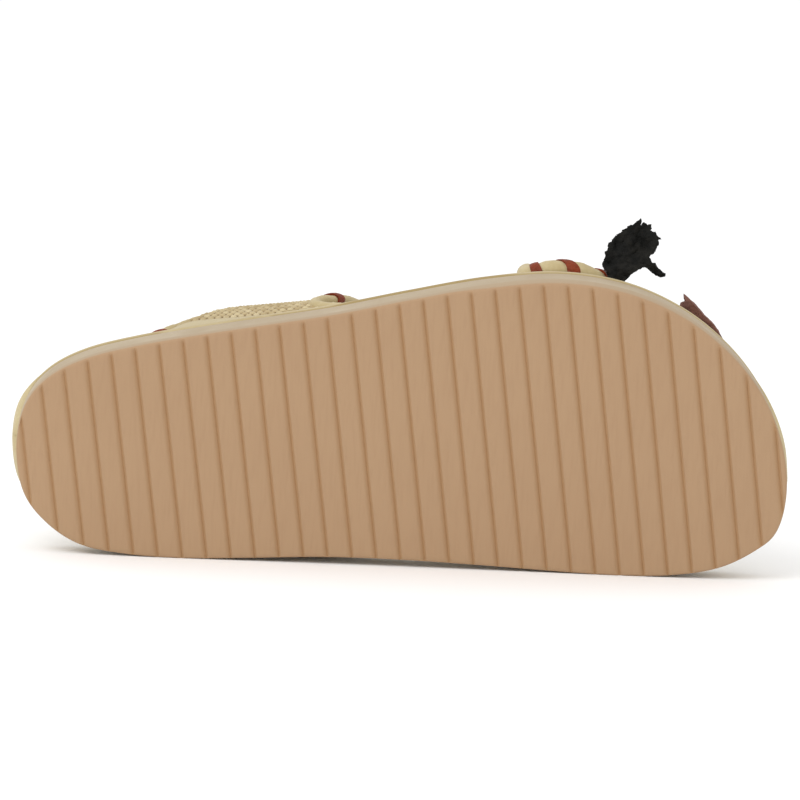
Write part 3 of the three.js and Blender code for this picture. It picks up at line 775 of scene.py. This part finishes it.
def raffiaMaterial():
    material, tree, shader = startMaterial("raffia", 0.55, Specular_IOR_Level=0.35)
    picker = tree.nodes.new("ShaderNodeMix")
    tree.links.new(attributePattern(tree, "strandWay"), picker.inputs["Factor"])
    for slot, stretch in ((2, (900, 9, 1)), (3, (30, 420, 1))):  # fibres over and along a strand
        spread = placePattern(tree, stretch=stretch, kind="UV")
        tree.links.new(noisePattern(tree, spread, 1.0, 3.0, 0.6), picker.inputs[slot])
    fibres = picker.outputs[0]
    tone = attributePattern(tree, "strandTone")
    # the gaps between strands are painted dark as shade; the same dark also marks darker fibres
    gapShade = ramp(tree, attributePattern(tree, "strandDepth"), 0.25, 0.65)
    color = mixed(tree, tone, weave["straw"], weave["pale"])
    color = mixed(tree, ramp(tree, fibres, 0.55, 0.75, 0.0, 0.55), color, weave["dark"])
    color = mixed(tree, gapShade, color, weave["dark"])
    color = mixed(tree, attributePattern(tree, "plain"), color, weave["plain"])
    setColor(tree, shader, color)
    addBump(tree, shader, fibres, 0.0003, 0.6)
    return material


def weaveHeight(across, along):  # both count strands, which are highest at whole numbers
    i, j = np.round(across), np.round(along)
    lengthways = 0.5 * np.cos(np.pi * i) * np.cos(np.pi * along) - 2 * (across - i) ** 2
    crossways = -0.5 * np.cos(np.pi * j) * np.cos(np.pi * across) - 2 * (along - j) ** 2
    return np.maximum(lengthways, crossways), lengthways >= crossways, i, j


def makeWeave(name, band, replaced):
    kept = {}
    around = bandMiddle(band, np.linspace(-1, 1, 200), 0.5)
    half = np.linalg.norm(np.diff(around, axis=0), axis=1).sum() / 2

    def place(u, v):  # the strands run along the band and cross at a small slant, as in a braid
        turn = (2 * u - 1) * band["weaveTurns"]
        spot = bandMiddle(band, turn, v)
        across, along = spot[:, 0] / weave["across"], turn * half / weave["along"]
        rise, onTop, i, j = weaveHeight(across + along, across - along)
        chance = np.random.default_rng(7).random((2, weave["tones"]))
        tones = [row[count.astype(int) % weave["tones"]] for row, count in zip(chance, (i, j))]
        plain = np.clip((np.abs(turn) - weave["plainFrom"]) / weave["plainFade"], 0, 1)
        kept["strandTone"] = np.where(onTop, *tones)
        kept["strandWay"] = onTop.astype(float)
        # depth below the strand tops, which masks the painted shade between strands
        kept["strandDepth"] = 0.5 - rise
        kept["plain"] = plain
        middle = (band["wall"] - weave["relief"] - weave["wallThickness"]) / 2
        out = middle + weave["relief"] * (rise * (1 - plain) + weave["plainRise"] * plain)
        return spot + bandNormal(band, turn, v) * out[:, None]
    piece = shapedGrid(name, band["stepsAlong"], band["stepsAcross"], place)
    for attribute, values in kept.items():
        setAttribute(piece, attribute, values)
    applyModifier(piece, "SOLIDIFY", thickness=weave["wallThickness"], offset=0)
    finishPiece(piece, raffia, replaced, smooth=70)

    def liningPlace(u, v):
        turn = (2 * u - 1) * band["weaveTurns"]
        depth = -(band["wall"] - weave["liningThickness"]) / 2
        return bandMiddle(band, turn, v) + bandNormal(band, turn, v) * depth
    lining = shapedGrid(
        name.replace("weave", "lining"), band["stepsAlong"] // 2, weave["liningSteps"], liningPlace)
    applyModifier(lining, "SOLIDIFY", thickness=weave["liningThickness"], offset=0)
    finishPiece(lining, liningLeather)


def rollRadius(size, places):  # the roll is drawn in a little under each lace
    def radius(along, angle):
        fromLace = np.min(np.abs(along[:, None] - np.asarray(places)[None, :]), axis=1)
        pinch = roll["pinch"] * np.exp(-(fromLace / roll["pinchReach"]) ** 2)
        short, long = roll["waves"]
        wave = np.sin(along * short + 2 * np.sin(angle)) + np.sin(along * long + angle)
        return size - pinch + roll["wrinkle"] * wave / 2
    return radius


def lacePlaces(plan, length):
    row = np.arange(plan["next"], length - plan["bare"], lace["pitch"])
    return np.concatenate([plan["first"], row]) % length


def makeLaces(name, centres, closed, size, places):
    outward, sideways = framesAlong(centres, closed)
    spacing = float(np.mean(np.linalg.norm(np.diff(centres, axis=0), axis=1)))
    rings = []
    for number, start in enumerate(places):
        lean = 1 + lace["uneven"] * math.sin(number * lace["unevenTurn"])

        def place(u, v, start=start, lean=lean):
            angle = 2 * math.pi * np.round(u * lace["sides"]) / lace["sides"]
            drift = lace["slant"] * lean * np.sin(angle) + (v - 0.5) * lace["width"]
            spot = (start + drift) / spacing
            low = np.floor(spot).astype(int)
            part = (spot - low)[:, None]
            mode = "wrap" if closed else "clip"
            centre, out, side = (
                ways.take(low, 0, mode=mode) * (1 - part) + ways.take(low + 1, 0, mode=mode) * part
                for ways in (centres, outward, sideways))
            crown = lace["crown"] * np.cos((v - 0.5) * math.pi)
            reach = (size + lace["stand"] - roll["pinch"] + crown)[:, None]
            angle = angle[:, None]
            return centre + reach * (unit(out) * np.cos(angle) + unit(side) * np.sin(angle))
        ring = shapedGrid("lace", lace["sides"], 3, place)
        mergeSeam(ring)
        rings.append(ring)
    piece = joinPieces(name, rings)
    applyModifier(piece, "SOLIDIFY", thickness=lace["thickness"], offset=0)
    finishPiece(piece, laceLeather, smooth=50)


def makeBinding(name, band, edge, plan, replaced):
    turns = np.linspace(-band["rollTurns"], band["rollTurns"], 400)
    centres = evenPoints(bandMiddle(band, turns, edge), roll["spacing"], False)
    places = lacePlaces(plan, len(centres) * roll["spacing"])
    radius = rollRadius(band["rollRadius"], places)
    piece = rolledTube(name, centres, radius, roll["sides"], False)
    finishPiece(piece, rollLeather, replaced, smooth=60)
    makeLaces(name + "_lace", centres, False, band["rollRadius"], places)


def closedCurve(knots, count):  # smooth loop through the knots, eased by the root of their distance
    before, start, end, after = (np.roll(knots, shift, 0) for shift in (1, 0, -1, -2))
    first, middle, last = (np.linalg.norm(b - a, axis=1)[:, None] ** 0.5
                           for a, b in ((before, start), (start, end), (end, after)))
    ahead = (end - start) / middle
    leave = (start - before) / first - (end - before) / (first + middle) + ahead
    reach = ahead - (after - start) / (middle + last) + (after - end) / last
    t = np.linspace(0, 1, count, endpoint=False)[None, :, None]
    a, b, c, d = (w[:, None, :] for w in (start, end, leave * middle, reach * middle))
    loop = a * (2 * t**3 - 3 * t**2 + 1) + b * (3 * t**2 - 2 * t**3)
    loop += c * (t**3 - 2 * t**2 + t) + d * (t**3 - t**2)
    return loop.reshape(-1, 3)


def makeToeFrame():
    feet = np.array(toeBand["frameFeet"])
    turns = np.linspace(-toeBand["frameReach"], toeBand["frameReach"], toeBand["frameKnots"])
    knots = np.vstack([
        bandMiddle(toeBand, -1, feet), bandMiddle(toeBand, turns, 1),
        bandMiddle(toeBand, 1, feet[::-1]), bandMiddle(toeBand, turns[::-1], 0)])
    centres = evenPoints(closedCurve(knots, 24), roll["spacing"], True)
    places = lacePlaces(lace["frame"], len(centres) * roll["spacing"])
    radius = rollRadius(toeBand["rollRadius"], places)
    piece = rolledTube("toe_frame_roll", centres, radius, toeBand["frameSides"], True)
    finishPiece(piece, rollLeather, ["toe_band_binding"], smooth=60)
    makeLaces("toe_frame_lace", centres, True, toeBand["rollRadius"], places)


# Leaves: the black one crumpled and torn at its edge, the brown one flat with a notch
blackLeaf = {
    "tilt": 31.5,
    "gap": 6.6,
    "inset": 0.4,
    "height": 4.5,
    "thickness": 1.1,
    "cup": 2.0,
    "crumple": 1.2,
    "grain": 0.45,
    "ragged": 0.3,
    "raggedFrom": 6.5,
    "spacing": 0.55,
    # sizes of the wrinkles, and the seeds of their noise
    "bigFolds": 5.0,
    "bigSeed": 3.1,
    "smallFolds": 1.5,
    "smallSeed": 8.7,
    "middle": (5.0, 9.0, 0.0),
    "bowlReach": 13.0,
    # a fold that runs from the stem towards the tail
    "foldAt": 3.0,
    "foldRun": 0.18,
    "foldWidth": 1.4,
    "foldDepth": 1.0,
    "color": (15, 15, 13),
    "worn": (36, 34, 30),
    # forward and outward, millimetres
    "outline": [
        (-2.2, -6.6), (-2.6, -2.0), (-2.7, 0.6), (-3.8, 2.8), (-4.3, 5.1), (-4.1, 6.3),
        (-3.5, 7.5), (-3.6, 8.8), (-2.9, 9.8), (-2.9, 11.0), (-2.1, 12.2), (-1.3, 12.8),
        (-1.2, 13.7), (-0.3, 14.6), (0.5, 15.0), (0.7, 15.8), (1.5, 16.2), (2.2, 17.1),
        (3.4, 17.7), (4.5, 18.5), (6.0, 19.2), (7.1, 19.9), (7.7, 20.6), (7.7, 18.9), (8.3, 18.8),
        (9.3, 19.6), (9.9, 19.2), (11.2, 19.3), (11.5, 18.8), (11.2, 17.5), (11.3, 16.7),
        (11.9, 16.1), (12.9, 16.2), (13.3, 15.3), (14.7, 14.4), (13.9, 13.9), (14.1, 12.6),
        (13.4, 11.7), (13.1, 10.1), (12.4, 8.7), (11.2, 8.4), (10.7, 7.5), (11.5, 5.9),
        (12.0, 5.2), (13.0, 5.1), (13.9, 3.9), (15.3, 3.1), (16.4, 1.7), (15.9, 1.4), (14.7, 1.5),
        (12.5, 2.7), (10.7, 3.6), (8.9, 4.2), (7.8, 3.4), (6.1, 2.1), (4.4, 0.8), (2.6, -0.9),
        (2.2, -3.6), (2.0, -6.6),
    ],
}
brownLeaf = {
    "turn": -0.62,
    "length": 45.0,
    "thickness": 1.2,
    "gap": 0.6,
    "spacing": 0.9,
    "cup": 1.8,
    "cupReach": 8.0,
    "grain": 0.25,
    "folds": 3.0,
    "seed": 4.4,
    "veinAt": 3.0,
    "veinRun": -0.62,
    "veinWidth": 0.9,
    "veinDepth": 0.5,
    "color": (118, 78, 66),
    "dark": (74, 44, 36),
    # forward, outward and rise, shares of the leaf's length
    "outline": [
        (0.00, -0.06, 0.00), (0.00, 0.00, 0.00), (0.09, -0.03, -0.06), (0.18, -0.06, -0.14),
        (0.26, -0.06, -0.22), (0.34, -0.09, -0.28), (0.40, -0.10, -0.33), (0.435, -0.09, -0.35),
        (0.444, -0.06, -0.33), (0.455, -0.055, -0.315), (0.47, -0.05, -0.305), (0.46, -0.03, -0.29),
        (0.457, -0.01, -0.27), (0.475, -0.02, -0.28), (0.50, -0.035, -0.30), (0.53, -0.06, -0.325),
        (0.56, -0.09, -0.34), (0.61, -0.14, -0.36), (0.67, -0.19, -0.372), (0.72, -0.25, -0.375),
        (0.79, -0.38, -0.37), (0.86, -0.53, -0.37), (0.76, -0.57, -0.32), (0.66, -0.56, -0.28),
        (0.52, -0.52, -0.22), (0.40, -0.46, -0.16), (0.28, -0.36, -0.11), (0.18, -0.24, -0.06),
        (0.08, -0.12, -0.02),
    ],
}


def leafDisc(name, outline, spacing, ragged=0.0):  # flat, cut both ways into small faces
    flat = np.array([(x, y, 0) for x, y in outline])
    if ragged:  # twice as many corners, every other one pushed in or out
        ways = np.roll(flat, -1, 0) - flat
        push = unit(np.stack([-ways[:, 1], ways[:, 0], ways[:, 2]], -1))
        chance = np.random.default_rng(5).uniform(-1, 1, (len(flat), 1))
        upper = flat[:, 1:2] > blackLeaf["raggedFrom"]
        flat = np.stack([flat, flat + ways / 2 + push * chance * ragged * upper], 1).reshape(-1, 3)
    bpy.ops.object.select_all(action="DESELECT")
    bpy.ops.mesh.primitive_circle_add(vertices=len(flat), radius=1, fill_type="NGON")
    piece = bpy.context.object
    piece.name = name
    writePoints(piece, flat)
    for way, low, high in zip(np.eye(3)[:2], flat.min(0), flat.max(0)):
        cutLines(piece, [way * at for at in np.arange(low + spacing / 2, high, spacing)], way)
    return piece


def leatherMaterial(name, color, worn, grain, roughness, gloss=0.4):
    material, tree, shader = startMaterial(name, roughness, Specular_IOR_Level=gloss)
    spread = placePattern(tree)
    cloud = ramp(tree, noisePattern(tree, spread, 240.0, 5.0, 0.65), 0.45, 0.75)
    setColor(tree, shader, mixed(tree, cloud, color, worn))
    addBump(tree, shader, cellPattern(tree, spread, grain, "SMOOTH_F1"), 0.0005, 0.6)
    addBump(tree, shader, noisePattern(tree, spread, grain * 0.4, 4.0, 0.6), 0.0009, 0.6)
    return material


def makeBlackLeaf():
    corner = bandMiddle(toeBand, -1.0, 1.0)
    x = corner[0] + blackLeaf["gap"]
    height = shoe["rimHeight"] + blackLeaf["height"]
    origin = shoePoints(x, edgeAcross(x, True) - blackLeaf["inset"], height)
    tilt = math.radians(blackLeaf["tilt"])
    piece = leafDisc(
        "black_leaf_crumpled", blackLeaf["outline"], blackLeaf["spacing"], blackLeaf["ragged"])
    flat = readPoints(piece)
    fromMiddle = np.linalg.norm(flat - np.array(blackLeaf["middle"]), axis=1)
    fromFold = flat[:, 1] - blackLeaf["foldAt"] - blackLeaf["foldRun"] * flat[:, 0]
    out = blackLeaf["cup"] * (1 - np.minimum(1, (fromMiddle / blackLeaf["bowlReach"]) ** 2))
    out += blackLeaf["crumple"] * 2 * wrinkles(
        flat, blackLeaf["bigFolds"], blackLeaf["bigSeed"])
    out += blackLeaf["grain"] * 2 * wrinkles(
        flat, blackLeaf["smallFolds"], blackLeaf["smallSeed"])
    out -= blackLeaf["foldDepth"] * np.exp(-(fromFold / blackLeaf["foldWidth"]) ** 2)
    across = flat[:, 1] * math.cos(tilt) - out * math.sin(tilt)
    rise = flat[:, 1] * math.sin(tilt) + out * math.cos(tilt)
    writePoints(piece, origin + shoePoints(flat[:, 0], across, rise))
    applyModifier(piece, "SOLIDIFY", thickness=blackLeaf["thickness"], offset=0)
    material = leatherMaterial(
        "blackLeather", blackLeaf["color"], blackLeaf["worn"], 1100.0, 0.75, 0.15)
    finishPiece(piece, material, ["black_leaf"], smooth=60)


def makeBrownLeaf():
    ahead = shoePoints(toeBand["rollRadius"] + brownLeaf["gap"], 0, 0)
    origin = bandMiddle(toeBand, brownLeaf["turn"], 1.0) + ahead
    corners = np.array(brownLeaf["outline"]) * brownLeaf["length"]
    piece = leafDisc("brown_leaf_notched", corners[:, :2], brownLeaf["spacing"])
    flat = readPoints(piece)
    spread = np.linalg.norm(flat[:, None, :2] - corners[None, :, :2], axis=-1)
    weight = 1 / (spread + 0.3) ** 3
    rise = (weight * corners[None, :, 2]).sum(1) / weight.sum(1)
    fromVein = flat[:, 1] - brownLeaf["veinAt"] - brownLeaf["veinRun"] * flat[:, 0]
    out = brownLeaf["cup"] * np.minimum(1, spread.min(1) / brownLeaf["cupReach"])
    out -= brownLeaf["veinDepth"] * np.exp(-(fromVein / brownLeaf["veinWidth"]) ** 2)
    out += brownLeaf["grain"] * wrinkles(flat, brownLeaf["folds"], brownLeaf["seed"])
    away = unit(shoePoints(0.25, 0.1, 1.0))
    writePoints(piece, origin + shoePoints(flat[:, 0], flat[:, 1], rise) + out[:, None] * away)
    applyModifier(piece, "SOLIDIFY", thickness=brownLeaf["thickness"], offset=0)
    material = leatherMaterial("brownLeather", brownLeaf["color"], brownLeaf["dark"], 900.0, 0.65)
    finishPiece(piece, material, ["brown_leaf"], smooth=60)


makeOutsole()
makeMidsole()
makeFootbed()
makeRimRoll()
makeFootbedStitches()
raffia = raffiaMaterial()
liningLeather = nubuckMaterial("liningLeather", weave["lining"], footbed["shade"], 900.0)
rollLeather = nubuckMaterial("rollLeather", roll["color"], roll["shade"], 1200.0)
laceLeather = leatherMaterial("laceLeather", lace["color"], lace["dark"], 1500.0, 0.5, 0.25)
makeWeave("instep_weave", instepBand, ["instep_band"])
makeBinding("instep_rear_roll", instepBand, 0.0, lace["rear"], ["instep_rear_binding"])
makeBinding("instep_front_roll", instepBand, 1.0, lace["front"], ["instep_front_binding"])
makeWeave("toe_weave", toeBand, ["toe_band"])
makeToeFrame()
makeBlackLeaf()
makeBrownLeaf()

# Studio: a pale floor, an even white sky and one large soft light from the upper left
studio = {
    "floorSize": 8,
    "floorColor": (255, 255, 255),
    "sky": 1.0,
    "keyPower": 14.0,
    "keySize": 1.2,
    "keyPlace": (-0.9, -1.3, 1.5),
    "keyAim": (0, 0, 0.05),
}
camera = {
    "lens": 300.0,
    "sensor": 36.0,
    "distance": 2.1848,
    "azimuth": -2.6,
    "elevation": 7.56,
    "roll": 2.672,
    "aim": (124.975, 56.479, 0.0),
}


def makeStudio():
    bpy.ops.object.select_all(action="DESELECT")
    bpy.ops.mesh.primitive_plane_add(size=studio["floorSize"])
    floor = bpy.context.object
    floor.name = "floor"
    material, tree, shader = startMaterial("floorPaper", 0.9, Specular_IOR_Level=0.0)
    shader.inputs["Base Color"].default_value = (*linear(studio["floorColor"]), 1)
    floor.data.materials.append(material)
    world = bpy.data.worlds.new("studioSky")
    bpy.context.scene.world = world
    world.use_nodes = True
    sky = world.node_tree.nodes["Background"]
    sky.inputs["Color"].default_value = (1, 1, 1, 1)
    sky.inputs["Strength"].default_value = studio["sky"]
    bpy.ops.object.light_add(type="AREA", location=studio["keyPlace"])
    key = bpy.context.object
    key.data.energy = studio["keyPower"]
    key.data.size = studio["keySize"]
    way = Vector(studio["keyAim"]) - key.location
    key.rotation_euler = way.to_track_quat("-Z", "Y").to_euler()
    bpy.context.scene.view_settings.view_transform = "Standard"


def makeCamera():
    bpy.ops.object.camera_add()
    view = bpy.context.object
    view.data.lens = camera["lens"]
    view.data.sensor_width = camera["sensor"]
    a, e = math.radians(camera["azimuth"]), math.radians(camera["elevation"])
    back = Vector((math.sin(a) * math.cos(e), -math.cos(a) * math.cos(e), math.sin(e)))
    x, across, height = camera["aim"]
    target = lying @ Vector((x, -across, height))
    view.location = target + back * camera["distance"]
    rolled = Matrix.Rotation(math.radians(camera["roll"]), 3, "Z")
    view.rotation_euler = ((-back).to_track_quat("-Z", "Y").to_matrix() @ rolled).to_euler()
    bpy.context.scene.camera = view


makeStudio()
makeCamera()
print("done")
